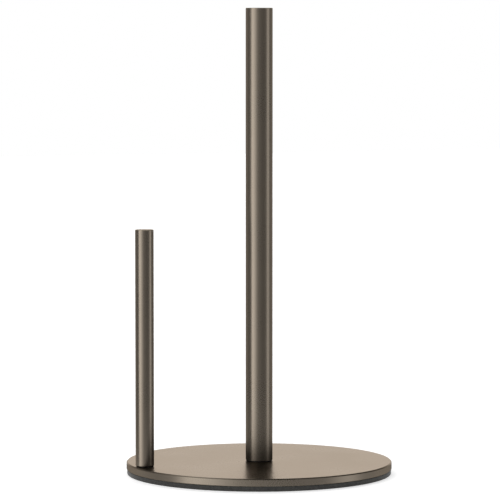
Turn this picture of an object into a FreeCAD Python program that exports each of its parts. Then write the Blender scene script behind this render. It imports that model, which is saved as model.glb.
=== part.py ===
"""Free-standing paper towel holder.

A heavy steel disc stands on a non-slip pad. A tall tube in the middle carries the roll, and a
short tube near the rim stops the roll from unwinding. Each tube is closed by a cap at its head
and by a threaded plug at its foot, and a countersunk screw from below draws it down on a thin
foot ring. The origin is the centre of the face that the holder rests on, +Z is up, and the
short arm stands on the -X side. Millimetres.
"""

import FreeCAD, Part
import os

import Sketcher
from FreeCAD import Vector

# Driving dimensions: alias, value, what it is.
DIMENSIONS = [
    ("base_diameter", 180.0, "steel disc, across"),
    ("base_thickness", 5.0, "steel disc, thick"),
    ("base_top_chamfer", 0.75, "bevel round the disc's upper rim"),
    ("base_under_chamfer", 0.3, "bevel round the disc's lower rim"),
    ("pad_diameter", 179.2, "non-slip pad, across"),
    ("pad_thickness", 3.2, "non-slip pad, thick"),
    ("film_diameter", 178.2, "double-sided adhesive film, across"),
    ("film_thickness", 0.2, "double-sided adhesive film, thick"),
    ("overall_height", 315.0, "resting face to the post's head"),
    ("post_diameter", 18.2, "post tube, outside, over its coating"),
    ("post_wall", 1.2, "post tube, wall"),
    ("arm_height", 167.4, "resting face to the arm's head"),
    ("arm_diameter", 12.4, "arm tube, outside, over its coating"),
    ("arm_wall", 1.0, "arm tube, wall"),
    ("arm_distance", 82.0, "post's axis to the arm's axis"),
    ("head_round", 0.5, "rounding of a tube's upper outer edge"),
    ("mouth_chamfer", 0.15, "bevel at the seam between a tube and its cap"),
    ("foot_chamfer", 0.3, "bevel of a tube's lower outer edge"),
    ("cap_thickness", 3.0, "cap in a tube's head"),
    ("press_gap", 0.02, "a cap or plug inside its tube, on the radius"),
    ("plug_recess", 0.3, "plug's face above the tube's foot"),
    ("plug_bevel", 0.5, "bevels of a plug"),
    ("ring_thickness", 0.4, "ring between a tube's foot and the disc"),
    ("ring_inset", 0.5, "ring's rim inside the tube's, on the radius"),
    ("head_rim", 0.4, "straight rim of a countersunk head"),
    ("head_recess", 0.2, "screw head's face above the disc's underside"),
    ("seat_gap", 0.02, "screw head inside its countersink, on the radius"),
    ("thread_gap", 0.05, "screw's thread inside its plug, on the radius"),
    ("thread_point", 0.6, "bevel at a screw's tip"),
    ("post_thread", 6.0, "post screw, thread"),
    ("post_clearance", 6.6, "post screw's hole through the disc"),
    ("post_screw_length", 18.0, "post screw, over all"),
    ("post_head", 12.0, "post screw, head"),
    ("post_socket", 4.0, "post screw, hexagon socket across its flats"),
    ("post_socket_depth", 2.4, "post screw, socket"),
    ("post_plug_length", 18.0, "threaded plug in the post"),
    ("post_access", 16.0, "hole in the pad under the post screw"),
    ("arm_thread", 5.0, "arm screw, thread"),
    ("arm_clearance", 5.5, "arm screw's hole through the disc"),
    ("arm_screw_length", 16.0, "arm screw, over all"),
    ("arm_head", 10.0, "arm screw, head"),
    ("arm_socket", 3.0, "arm screw, hexagon socket across its flats"),
    ("arm_socket_depth", 2.0, "arm screw, socket"),
    ("arm_plug_length", 14.0, "threaded plug in the arm"),
    ("arm_access", 11.0, "hole in the pad under the arm screw"),
    ("film_relief", 0.2, "film's holes wider than the pad's, on the radius"),
]

SHEET = "dimensions"
ON_ORIGIN = (-1, 1)  # a sketch's own origin point
AXIS_X = -1  # a sketch's own horizontal axis
CENTRE = 3  # the point of a circle that is its centre
FIRST, LAST = 1, 2  # the end points of a line
HEXAGON = 6  # sides of a screw's socket
NEAR = 1e-4  # how closely a rim has to lie where it is looked for

# Heights above the resting face, as expressions of the sheet's cells.
FILM_FOOT = "{0}.pad_thickness".format(SHEET)
DISC_FOOT = FILM_FOOT + " + {0}.film_thickness".format(SHEET)
DISC_TOP = DISC_FOOT + " + {0}.base_thickness".format(SHEET)
TUBE_FOOT = DISC_TOP + " + {0}.ring_thickness".format(SHEET)

document = FreeCAD.newDocument("paper_towel_holder")


def make_sheet():
    """The spreadsheet that every other object reads its sizes from."""
    sheet = document.addObject("Spreadsheet::Sheet", SHEET)
    for row, (alias, value, note) in enumerate(DIMENSIONS, start=1):
        sheet.set("A{0}".format(row), alias)
        sheet.set("B{0}".format(row), str(value))
        sheet.set("C{0}".format(row), note)
        sheet.setAlias("B{0}".format(row), alias)
    document.recompute()
    return sheet


sheet = make_sheet()


def size(alias):
    """A cell's value, for finding an edge by where it lies."""
    return float(sheet.get(alias))


def cell(text):
    """Writes <alias> in an expression as the sheet's cell of that name."""
    return text.replace("<", SHEET + ".").replace(">", "")


def make_body(label, height="0", x="0"):
    """An empty body, set at a height above the resting face and along X."""
    body = document.addObject("PartDesign::Body", label)
    body.Label = label
    body.setExpression(".Placement.Base.z", cell(height))
    body.setExpression(".Placement.Base.x", cell(x))
    return body


def make_sketch(body, name, height=None):
    """An empty sketch on the body's own XY plane, or parallel to it at a height."""
    plane = [f for f in body.Origin.OriginFeatures if f.Role == "XY_Plane"][0]
    sketch = body.newObject("Sketcher::SketchObject", name)
    sketch.AttachmentSupport = [(plane, "")]
    sketch.MapMode = "FlatFace"
    if height is not None:
        sketch.setExpression(".AttachmentOffset.Base.z", cell(height))
    return sketch


def add_circle(sketch, name, diameter, distance=None):
    """A circle round the sketch's origin, or at a distance from it towards -X."""
    start = Vector(0, 0, 0) if distance is None else Vector(-1, 0, 0)
    index = sketch.addGeometry(Part.Circle(start, Vector(0, 0, 1), 1.0), False)
    if distance is None:
        sketch.addConstraint(Sketcher.Constraint("Coincident", index, CENTRE, *ON_ORIGIN))
    else:
        sketch.addConstraint(Sketcher.Constraint("PointOnObject", index, CENTRE, AXIS_X))
        reach = Sketcher.Constraint("DistanceX", index, CENTRE, *ON_ORIGIN, 1.0)
        along = sketch.addConstraint(reach)
        sketch.renameConstraint(along, name + "_distance")
        sketch.setExpression(".Constraints." + name + "_distance", cell(distance))
    across = sketch.addConstraint(Sketcher.Constraint("Diameter", index, 2.0))
    sketch.renameConstraint(across, name)
    sketch.setExpression(".Constraints." + name, cell(diameter))
    return index


def add_hexagon(sketch, across_flats):
    """A regular hexagon on a construction circle round the sketch's origin."""
    corners = "{0} / cos(30 deg)".format(across_flats)
    rim = add_circle(sketch, "corners", corners)
    sketch.toggleConstruction(rim)
    points = []
    for step in range(HEXAGON):
        turn = FreeCAD.Rotation(Vector(0, 0, 1), 360.0 * step / HEXAGON)
        points.append(turn.multVec(Vector(1, 0, 0)))
    sides = []
    for step in range(HEXAGON):
        line = Part.LineSegment(points[step], points[(step + 1) % HEXAGON])
        sides.append(sketch.addGeometry(line, False))
    for step in range(HEXAGON):
        here, after = sides[step], sides[(step + 1) % HEXAGON]
        sketch.addConstraint(Sketcher.Constraint("Coincident", here, LAST, after, FIRST))
        sketch.addConstraint(Sketcher.Constraint("PointOnObject", here, FIRST, rim))
        if step:
            sketch.addConstraint(Sketcher.Constraint("Equal", sides[0], here))
    sketch.addConstraint(Sketcher.Constraint("PointOnObject", sides[0], FIRST, AXIS_X))


def pad_up(body, sketch, name, length):
    """Extrudes a sketch upwards."""
    feature = body.newObject("PartDesign::Pad", name)
    feature.Profile = sketch
    feature.setExpression("Length", cell(length))
    sketch.Visibility = False
    return feature


def pocket_up(body, sketch, name, depth):
    """Cuts a sketch upwards into the solid above it, and tests that it took material away."""
    document.recompute()
    before = body.Shape.Volume
    feature = body.newObject("PartDesign::Pocket", name)
    feature.Profile = sketch
    feature.Reversed = True
    feature.setExpression("Length", cell(depth))
    document.recompute()
    if body.Shape.Volume >= before:
        raise ValueError(name + " cut nothing")
    return feature


def rims(feature, diameter, height):
    """Names of the feature's round edges of that diameter at that height above its body's foot."""
    document.recompute()
    found = []
    for number, edge in enumerate(feature.Shape.Edges, start=1):
        round_edge = isinstance(edge.Curve, Part.Circle)
        if not round_edge or abs(edge.Curve.Radius - diameter / 2) > NEAR:
            continue
        if abs(edge.Curve.Center.z - height) < NEAR:
            found.append("Edge{0}".format(number))
    if not found:
        raise ValueError("{0} has no rim {1} across at {2}".format(feature.Name, diameter, height))
    return found


def chamfer(body, name, feature, edges, width):
    """Bevels the named edges."""
    made = body.newObject("PartDesign::Chamfer", name)
    made.Base = (feature, edges)
    made.setExpression("Size", cell(width))
    return made


def fillet(body, name, feature, edges, radius):
    """Rounds the named edges."""
    made = body.newObject("PartDesign::Fillet", name)
    made.Base = (feature, edges)
    made.setExpression("Radius", cell(radius))
    return made


def countersunk_hole(body, name, piece, distance=None):
    """A through hole from the underside for the screw of the post or the arm, with its seat."""
    sketch = make_sketch(body, name + "Sketch")
    clearance = "<{0}_clearance>".format(piece)
    add_circle(sketch, "clearance", clearance, distance)
    document.recompute()
    before = body.Shape.Volume
    hole = body.newObject("PartDesign::Hole", name)
    hole.Profile = sketch
    document.recompute()
    hole.Reversed = True
    hole.DepthType = "ThroughAll"
    hole.ThreadType = "None"
    hole.setExpression("Diameter", cell(clearance))
    hole.HoleCutType = "Countersink"
    hole.HoleCutCustomValues = True
    mouth = "<{0}_head> + 2 * (<head_rim> + <head_recess> + <seat_gap>)".format(piece)
    hole.setExpression("HoleCutDiameter", cell(mouth))
    hole.HoleCutCountersinkAngle = 90.0
    document.recompute()
    if body.Shape.Volume >= before:
        raise ValueError(name + " cut nothing")
    return hole


def make_base_plate():
    """Steel disc with two countersunk holes from below."""
    body = make_body("base_plate", height=DISC_FOOT)
    outline = make_sketch(body, "DiscOutline")
    add_circle(outline, "rim", "<base_diameter>")
    pad_up(body, outline, "Disc", "<base_thickness>")
    countersunk_hole(body, "PostHole", "post")
    hole = countersunk_hole(body, "ArmHole", "arm", "<arm_distance>")
    upper = rims(hole, size("base_diameter"), size("base_thickness"))
    bevel = chamfer(body, "UpperBevel", hole, upper, "<base_top_chamfer>")
    lower = rims(bevel, size("base_diameter"), 0.0)
    chamfer(body, "LowerBevel", bevel, lower, "<base_under_chamfer>")


def make_sheet_disc(label, height, outline, thickness, relief):
    """A flat disc with an access hole under each screw, such as the pad or its adhesive film."""
    body = make_body(label, height=height)
    sketch = make_sketch(body, label + "_outline")
    add_circle(sketch, "rim", outline)
    add_circle(sketch, "post_hole", "<post_access> + 2 * {0}".format(relief))
    add_circle(sketch, "arm_hole", "<arm_access> + 2 * {0}".format(relief), "<arm_distance>")
    pad_up(body, sketch, label + "_sheet", thickness)


def make_tube(piece, top, x):
    """Tube of the post or the arm: eased outside at its head, bevelled at its foot."""
    body = make_body(piece + "_tube", height=TUBE_FOOT, x=x)
    sketch = make_sketch(body, piece + "_section")
    outer = "<{0}_diameter>".format(piece)
    bore = "<{0}_diameter> - 2 * <{0}_wall>".format(piece)
    add_circle(sketch, "outer", outer)
    add_circle(sketch, "bore", bore)
    tube = pad_up(body, sketch, piece + "_length", "{0} - ({1})".format(top, TUBE_FOOT))
    document.recompute()
    length = tube.Length.Value
    across = size(piece + "_diameter")
    inner = across - 2 * size(piece + "_wall")
    round_head = fillet(body, piece + "_head", tube, rims(tube, across, length), "<head_round>")
    mouth = rims(round_head, inner, length)
    seam = chamfer(body, piece + "_mouth", round_head, mouth, "<mouth_chamfer>")
    chamfer(body, piece + "_foot", seam, rims(seam, across, 0.0), "<foot_chamfer>")


def make_cap(piece, top, x):
    """Flat cap pressed flush into a tube's head."""
    body = make_body(piece + "_cap", height="{0} - <cap_thickness>".format(top), x=x)
    sketch = make_sketch(body, piece + "_cap_outline")
    across = "<{0}_diameter> - 2 * (<{0}_wall> + <press_gap>)".format(piece)
    add_circle(sketch, "rim", across)
    disc = pad_up(body, sketch, piece + "_cap_disc", "<cap_thickness>")
    wide = size(piece + "_diameter") - 2 * (size(piece + "_wall") + size("press_gap"))
    upper = rims(disc, wide, size("cap_thickness"))
    bevel = chamfer(body, piece + "_cap_seam", disc, upper, "<mouth_chamfer>")
    chamfer(body, piece + "_cap_lead", bevel, rims(bevel, wide, 0.0), "<plug_bevel>")


def make_plug(piece, x):
    """Plug in a tube's foot, with the thread that its screw takes."""
    body = make_body(piece + "_plug", height=TUBE_FOOT + " + <plug_recess>", x=x)
    sketch = make_sketch(body, piece + "_plug_section")
    add_circle(sketch, "rim", "<{0}_diameter> - 2 * (<{0}_wall> + <press_gap>)".format(piece))
    add_circle(sketch, "thread", "<{0}_thread> + 2 * <thread_gap>".format(piece))
    length = "<{0}_plug_length>".format(piece)
    plug = pad_up(body, sketch, piece + "_plug_length", length)
    wide = size(piece + "_diameter") - 2 * (size(piece + "_wall") + size("press_gap"))
    bore = size(piece + "_thread") + 2 * size("thread_gap")
    edges = rims(plug, wide, size(piece + "_plug_length")) + rims(plug, bore, 0.0)
    chamfer(body, piece + "_plug_bevels", plug, edges, "<plug_bevel>")


def make_ring(piece, x):
    """Thin ring between a tube's foot and the disc, which keeps the coatings apart."""
    body = make_body(piece + "_foot_ring", height=DISC_TOP, x=x)
    sketch = make_sketch(body, piece + "_ring_section")
    add_circle(sketch, "rim", "<{0}_diameter> - 2 * <ring_inset>".format(piece))
    add_circle(sketch, "hole", "<{0}_clearance>".format(piece))
    pad_up(body, sketch, piece + "_ring_sheet", "<ring_thickness>")


def make_screw(piece, x):
    """Countersunk screw with a hexagon socket, head down."""
    body = make_body(piece + "_screw", height=DISC_FOOT + " + <head_recess>", x=x)
    rim = body.newObject("PartDesign::AdditiveCylinder", piece + "_head_rim")
    rim.setExpression("Radius", cell("<{0}_head> / 2".format(piece)))
    rim.setExpression("Height", cell("<head_rim>"))
    document.recompute()
    cone = body.newObject("PartDesign::AdditiveCone", piece + "_head_cone")
    cone.setExpression("Radius1", cell("<{0}_head> / 2".format(piece)))
    cone.setExpression("Radius2", cell("<{0}_thread> / 2".format(piece)))
    cone.setExpression("Height", cell("(<{0}_head> - <{0}_thread>) / 2".format(piece)))
    cone.setExpression(".AttachmentOffset.Base.z", cell("<head_rim>"))
    document.recompute()
    shank = body.newObject("PartDesign::AdditiveCylinder", piece + "_shank")
    shank.setExpression("Radius", cell("<{0}_thread> / 2".format(piece)))
    shank.setExpression("Height", cell("<{0}_screw_length>".format(piece)))
    tip = rims(shank, size(piece + "_thread"), size(piece + "_screw_length"))
    chamfer(body, piece + "_point", shank, tip, "<thread_point>")
    sketch = make_sketch(body, piece + "_socket_outline")
    add_hexagon(sketch, "<{0}_socket>".format(piece))
    pocket_up(body, sketch, piece + "_socket", "<{0}_socket_depth>".format(piece))


def make_upright(piece, top, x="0"):
    """Everything that stands on the post's or the arm's axis."""
    make_tube(piece, top, x)
    make_cap(piece, top, x)
    make_plug(piece, x)
    make_ring(piece, x)
    make_screw(piece, x)


def check_and_write():
    """Tests every object and every body's shape, then writes one STEP file for each body."""
    document.recompute()
    for thing in document.Objects:
        if "Invalid" in thing.State or "Error" in thing.State:
            raise ValueError("{0} failed: {1}".format(thing.Name, thing.State))
    bodies = [thing for thing in document.Objects if thing.isDerivedFrom("PartDesign::Body")]
    for body in bodies:
        if body.Shape.isNull() or not body.Shape.isValid() or len(body.Shape.Solids) != 1:
            raise ValueError(body.Label + " is not one valid solid")
    os.makedirs("parts", exist_ok=True)
    for body in bodies:
        body.Shape.exportStep(os.path.join("parts", body.Label + ".step"))
        box = body.Shape.BoundBox
        print(
            "{0:16s} {1:10.1f} mm3  x {2:7.2f} {3:7.2f}  z {4:7.2f} {5:7.2f}".format(
                body.Label, body.Shape.Volume, box.XMin, box.XMax, box.ZMin, box.ZMax
            )
        )


make_sheet_disc("base_pad", "0", "<pad_diameter>", "<pad_thickness>", "0")
make_sheet_disc("pad_film", FILM_FOOT, "<film_diameter>", "<film_thickness>", "<film_relief>")
make_base_plate()
make_upright("post", "<overall_height>")
make_upright("arm", "<arm_height>", x="-<arm_distance>")
check_and_write()
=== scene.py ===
"""Looks of a free-standing paper towel holder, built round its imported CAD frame.

Metres, in the frame's own axes: the origin is the middle of the face that the holder rests on,
+Z is up, and the short arm stands on the -X side. A piece takes its place and its main sizes
from the boxes of the CAD nodes. What a box doesn't say, such as a bevel or a thread, is a field
of the class that makes the piece.
"""

import logging
import math
from collections.abc import Sequence
from dataclasses import dataclass, field
from enum import Enum
from typing import Any

import bmesh
import bpy
from mathutils import Matrix, Vector


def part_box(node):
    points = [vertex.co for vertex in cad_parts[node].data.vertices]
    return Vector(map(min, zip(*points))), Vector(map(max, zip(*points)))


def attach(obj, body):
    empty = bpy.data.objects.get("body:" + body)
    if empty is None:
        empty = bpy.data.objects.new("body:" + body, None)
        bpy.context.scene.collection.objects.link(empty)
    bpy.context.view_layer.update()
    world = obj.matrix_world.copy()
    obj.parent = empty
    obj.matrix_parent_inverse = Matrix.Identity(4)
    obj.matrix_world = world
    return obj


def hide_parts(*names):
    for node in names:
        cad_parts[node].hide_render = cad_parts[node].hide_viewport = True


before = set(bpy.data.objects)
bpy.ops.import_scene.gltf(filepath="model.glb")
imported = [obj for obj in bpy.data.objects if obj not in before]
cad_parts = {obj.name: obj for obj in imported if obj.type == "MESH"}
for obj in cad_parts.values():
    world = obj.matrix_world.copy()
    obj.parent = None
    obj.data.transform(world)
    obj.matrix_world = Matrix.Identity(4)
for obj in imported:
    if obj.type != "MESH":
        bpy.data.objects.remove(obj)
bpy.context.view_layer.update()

log = logging.getLogger("towel_holder")

MM = 0.001
BODY = "root"
EDGE = "edge"  # 1 on a piece's eased edges and cut faces, 0 elsewhere
FLATS = "flats"  # 1 where a turned piece is six-sided
THREAD = "thread"  # 1 where a turned piece is threaded
AXIS_DECIMALS = 4  # an axis is read to a tenth of a millimetre
SAME_SPOT = 1e-6  # points closer than this become one
NO_LENGTH = 1e-7  # an edge shorter than this is removed
SHARP = math.radians(32)  # faces that meet at more than this keep a crisp edge
NOISE_SPAN = (0.3, 0.7)  # the range that a noise's values mostly keep to
EVEN = Vector((1.0, 1.0, 1.0))
WHITE = "FFFFFF"
SHARE, FIRST, SECOND, MIXED = 0, 6, 7, 2  # a Mix node's sockets where it mixes colours
Feed = bpy.types.Node | bpy.types.NodeSocket  # what a link starts from
Inputs = dict[str | int, Any] | list[Any]  # a node's inputs, each a feed or a constant
Piece = bpy.types.Object


class Slot(Enum):
    """The record's material slots."""

    BRONZE = "bronze_coated_steel"
    FOAM = "foam_rubber"
    FILM = "adhesive_film"
    NYLON = "nylon"
    ZINC = "zinc_plated_steel"
    BLACK = "black_steel"


class Upright(Enum):
    """The two uprights, by the first word of their CAD nodes."""

    POST = "post"
    ARM = "arm"


# ---------------------------------------------------------------------------------------------
# Node tools
# ---------------------------------------------------------------------------------------------


def linear(code: str) -> tuple[float, float, float, float]:
    """A colour from its sRGB hex code.

    Args:
        code: Six hex digits, such as "AFA28F".

    Returns:
        Linear red, green, blue and an alpha of 1.
    """
    channels = [int(code[i : i + 2], 16) / 255 for i in (0, 2, 4)]
    bent = [c / 12.92 if c <= 0.04045 else ((c + 0.055) / 1.055) ** 2.4 for c in channels]
    return (bent[0], bent[1], bent[2], 1.0)


class Net:
    """A tree of nodes, and how it grows."""

    def __init__(self, tree: bpy.types.NodeTree) -> None:
        """Takes up a tree."""
        self.tree = tree

    def add(self, kind: str, inputs: Inputs | None = None, **settings: Any) -> bpy.types.Node:
        """Adds a node with its settings and links.

        Args:
            kind: Its type name.
            inputs: Its inputs, in their order, or by name or number. A socket is linked, and
                so is a node's first output. Anything else is set.
            settings: Its properties, by name.

        Returns:
            The new node.
        """
        node = self.tree.nodes.new(kind)
        for name, value in settings.items():
            setattr(node, name, value)
        if isinstance(inputs, list):
            inputs = dict(enumerate(inputs))
        for key, value in (inputs or {}).items():
            if isinstance(value, bpy.types.Node):
                value = value.outputs[0]
            if isinstance(value, bpy.types.NodeSocket):
                self.tree.links.new(value, node.inputs[key])
            else:
                node.inputs[key].default_value = value
        return node

    def grain(self, size: float, detail: float, stretch: Vector = EVEN) -> Feed:
        """Adds a cloudy pattern of a real size, fixed to the piece.

        Args:
            size: The pattern's period, in metres.
            detail: How many finer layers it has.
            stretch: How many times longer the pattern is along each axis.

        Returns:
            A value about 0.5.
        """
        scale = Vector((1 / stretch.x, 1 / stretch.y, 1 / stretch.z))
        place = self.add("ShaderNodeTexCoord").outputs["Object"]
        spread = self.add("ShaderNodeMapping", {"Vector": place, "Scale": scale})
        inputs = {"Vector": spread, "Scale": 1 / size, "Detail": detail}
        return self.add("ShaderNodeTexNoise", inputs)


class ShapeNet(Net):
    """A tree of geometry nodes that works on one piece."""

    def __init__(self, name: str, wanted: dict[str, str]) -> None:
        """Makes the tree with its inputs and its output.

        Args:
            name: The tree's name.
            wanted: The type of each input, by the input's name.
        """
        super().__init__(bpy.data.node_groups.new(name, "GeometryNodeTree"))
        panel = self.tree.interface
        self.sockets = {
            word: panel.new_socket(name=word, in_out="INPUT", socket_type=kind).identifier
            for word, kind in wanted.items()
        }
        panel.new_socket(name="Piece", in_out="OUTPUT", socket_type="NodeSocketGeometry")
        self.given = self.add("NodeGroupInput").outputs

    def give_out(self, shape: Feed) -> None:
        """Ends the tree with real geometry, in the material that it is given."""
        real = self.add("GeometryNodeRealizeInstances", {"Geometry": shape})
        inputs = {"Geometry": real, "Material": self.given["Material"]}
        self.add("NodeGroupOutput", [self.add("GeometryNodeSetMaterial", inputs)])

    def run(self, piece: Piece, values: dict[str, Any]) -> None:
        """Runs the tree on a piece, and keeps what comes out as the piece's mesh.

        Args:
            piece: The piece.
            values: The inputs' values by name.
        """
        modifier = piece.modifiers.new(self.tree.name, "NODES")
        modifier.node_group = self.tree
        for word, value in values.items():
            modifier[self.sockets[word]] = value
        settle(piece)


# ---------------------------------------------------------------------------------------------
# Finishes
# ---------------------------------------------------------------------------------------------


@dataclass(frozen=True)
class Finish:
    """What every finish shares: a name, a slot of the record, and a shader that it dresses."""

    name: str
    slot: Slot

    def material(self) -> bpy.types.Material:
        """Finds the finish's material, or makes it the first time.

        Returns:
            A material whose nodes are this finish's own.
        """
        made = bpy.data.materials.get(self.name)
        if made:
            return made
        material = bpy.data.materials.new(self.name)
        material.use_nodes = True
        material.node_tree.nodes.clear()
        self.fill(Net(material.node_tree))
        return material

    def fill(self, net: Net) -> None:
        """Puts a surface shader into the material's empty tree, and dresses it."""
        shader = net.add("ShaderNodeBsdfPrincipled", self.dress(net))
        net.add("ShaderNodeOutputMaterial", {"Surface": shader})

    def dress(self, net: Net) -> dict[str, Any]:
        """Adds the finish's patterns to its material's tree.

        Returns:
            The surface shader's inputs, by name.
        """
        raise NotImplementedError


@dataclass(frozen=True)
class BronzeCoat(Finish):
    """Bead-blasted steel under a vapour-deposited bronze coat.

    The blasting gives an even satin sheen with a fine dry grain, and the coat a warm brown
    tint that pales a little where an edge has been handled.
    """

    tone: str = "AB9F90"
    pale: str = "C6B8A0"
    glancing: str = "E1D6CA"
    darkest: float = 0.95  # the tone's share that is left in its darkest clouds
    rubbed: float = 0.45  # how much of the pale tone an edge has
    roughness: float = 0.29
    grain_spread: float = 0.02  # of the roughness, each way
    cloud_spread: float = 0.015
    grain_size: float = 0.45 * MM  # the blasting's own grain is 0.1 mm, drawn coarser to show
    cloud_size: float = 38 * MM
    grain_strength: float = 0.06
    grain_depth: float = 0.02 * MM

    def dress(self, net: Net) -> dict[str, Any]:
        """Tints the coat in soft clouds, with grain in its roughness and its surface."""
        fine = net.grain(self.grain_size, 2.0)
        broad = net.grain(self.cloud_size, 1.0)
        tone = linear(self.tone)
        deeper = tuple(self.darkest * c for c in tone[:3]) + (1.0,)
        cloud = net.add("ShaderNodeMapRange", [broad, *NOISE_SPAN])
        inputs = {SHARE: cloud, FIRST: deeper, SECOND: tone}
        body = net.add("ShaderNodeMix", inputs, data_type="RGBA").outputs[MIXED]
        edges = net.add("ShaderNodeAttribute", attribute_name=EDGE).outputs["Fac"]
        worn = net.add("ShaderNodeMath", [edges, self.rubbed], operation="MULTIPLY")
        inputs = {SHARE: worn, FIRST: body, SECOND: linear(self.pale)}
        colour = net.add("ShaderNodeMix", inputs, data_type="RGBA").outputs[MIXED]
        limits = (-self.grain_spread, self.grain_spread)
        spread = net.add("ShaderNodeMapRange", [fine, *NOISE_SPAN, *limits])
        limits = (-self.cloud_spread, self.cloud_spread)
        drift = net.add("ShaderNodeMapRange", [broad, *NOISE_SPAN, *limits])
        even = net.add("ShaderNodeMath", [drift, self.roughness], operation="ADD")
        inputs = {"Strength": self.grain_strength, "Distance": self.grain_depth, "Height": fine}
        return {
            "Base Color": colour,
            "Roughness": net.add("ShaderNodeMath", [spread, even], operation="ADD"),
            "Normal": net.add("ShaderNodeBump", inputs),
            "Metallic": 1.0,
            "Specular Tint": linear(self.glancing),
        }


@dataclass(frozen=True)
class TurnedBronze(BronzeCoat):
    """The same coat over a face that was turned on a lathe, which leaves fine rings."""

    centre: tuple[float, float] = (0.0, 0.0)
    ring_spacing: float = 0.5 * MM  # the tool's feed is 0.1 mm, drawn coarser to show
    ring_strength: float = 0.12

    def dress(self, net: Net) -> dict[str, Any]:
        """Adds the rings to the coat's own surface."""
        shader = super().dress(net)
        place = net.add("ShaderNodeTexCoord").outputs["Object"]
        back = (-self.centre[0], -self.centre[1], 0.0)
        centred = net.add("ShaderNodeMapping", {"Vector": place, "Location": back})
        flat = net.add("ShaderNodeVectorMath", [centred, (1.0, 1.0, 0.0)], operation="MULTIPLY")
        reach = net.add("ShaderNodeVectorMath", [flat], operation="LENGTH").outputs["Value"]
        rate = math.tau / self.ring_spacing
        turns = net.add("ShaderNodeMath", [reach, rate], operation="MULTIPLY")
        ring = net.add("ShaderNodeMath", [turns], operation="SINE")
        inputs = {"Strength": self.ring_strength, "Distance": self.grain_depth, "Height": ring}
        inputs["Normal"] = shader["Normal"]
        shader["Normal"] = net.add("ShaderNodeBump", inputs)
        return shader


@dataclass(frozen=True)
class FoamRubber(Finish):
    """Closed-cell foam rubber, cut from sheet: dull charcoal with cells that catch the light."""

    dark: str = "353535"
    light: str = "53524F"
    cell_size: float = 0.9 * MM  # the cells are 0.3 mm, drawn coarser to show
    cell_depth: float = 0.1 * MM
    cell_strength: float = 0.5
    fleck_size: float = 1.6 * MM
    fleck_share: float = 0.75  # of the two tones' pattern, the cells have the rest
    roughness: float = 0.85
    spread: float = 0.08  # of the roughness, each way
    specular: float = 0.35
    sheen: float = 0.35
    sheen_roughness: float = 0.4

    def dress(self, net: Net) -> dict[str, Any]:
        """Speckles the foam and pits its surface."""
        place = net.add("ShaderNodeTexCoord").outputs["Object"]
        inputs = {"Vector": place, "Scale": 1 / self.cell_size, "Randomness": 1.0}
        cell = net.add("ShaderNodeTexVoronoi", inputs, feature="F1")
        speck = net.grain(self.fleck_size, 3.0)
        spot = net.add("ShaderNodeMapRange", [speck, *NOISE_SPAN])
        pick = net.add("ShaderNodeMath", [spot, self.fleck_share], operation="MULTIPLY")
        rest = net.add("ShaderNodeMath", [cell, 1.0 - self.fleck_share], operation="MULTIPLY")
        fleck = net.add("ShaderNodeMath", [pick, rest], operation="ADD")
        inputs = {SHARE: fleck, FIRST: linear(self.dark), SECOND: linear(self.light)}
        colour = net.add("ShaderNodeMix", inputs, data_type="RGBA").outputs[MIXED]
        limits = (self.roughness - self.spread, self.roughness + self.spread)
        inputs = {"Strength": self.cell_strength, "Distance": self.cell_depth, "Height": cell}
        return {
            "Base Color": colour,
            "Roughness": net.add("ShaderNodeMapRange", [speck, *NOISE_SPAN, *limits]),
            "Normal": net.add("ShaderNodeBump", inputs),
            "Specular IOR Level": self.specular,
            "Sheen Weight": self.sheen,
            "Sheen Roughness": self.sheen_roughness,
        }


@dataclass(frozen=True)
class Mottled(Finish):
    """A plain plastic whose tone and sheen vary a little from spot to spot."""

    tone: str
    other: str
    size: float
    sheen: tuple[float, float]
    texture: float = 0.0
    texture_depth: float = 0.02 * MM

    def dress(self, net: Net) -> dict[str, Any]:
        """Mottles the plastic, and textures its surface where it was moulded so."""
        spot = net.grain(self.size, 2.0)
        share = net.add("ShaderNodeMapRange", [spot, *NOISE_SPAN])
        inputs = {SHARE: share, FIRST: linear(self.tone), SECOND: linear(self.other)}
        shader = {
            "Base Color": net.add("ShaderNodeMix", inputs, data_type="RGBA").outputs[MIXED],
            "Roughness": net.add("ShaderNodeMapRange", [spot, *NOISE_SPAN, *self.sheen]),
        }
        if self.texture:
            inputs = {"Strength": self.texture, "Distance": self.texture_depth, "Height": spot}
            shader["Normal"] = net.add("ShaderNodeBump", inputs)
        return shader


@dataclass(frozen=True)
class NylonRingAndFootShade(Mottled):
    """Black nylon, injection moulded, with a low sheen and a faint mould texture; its black also
    paints the contact shade at a tube's foot.
    """

    # the washer's own black, which also stands for painted contact shade at the tube's foot
    tone: str = "17171A"
    other: str = "232327"
    size: float = 0.5 * MM
    sheen: tuple[float, float] = (0.5, 0.6)
    texture: float = 0.2


@dataclass(frozen=True)
class AdhesiveFilm(Mottled):
    """Double-sided acrylic tape: a thin milky film, darker and duller where its glue is thick."""

    tone: str = "C9C8BE"
    other: str = "A9A89C"
    size: float = 4 * MM
    sheen: tuple[float, float] = (0.3, 0.45)


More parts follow.
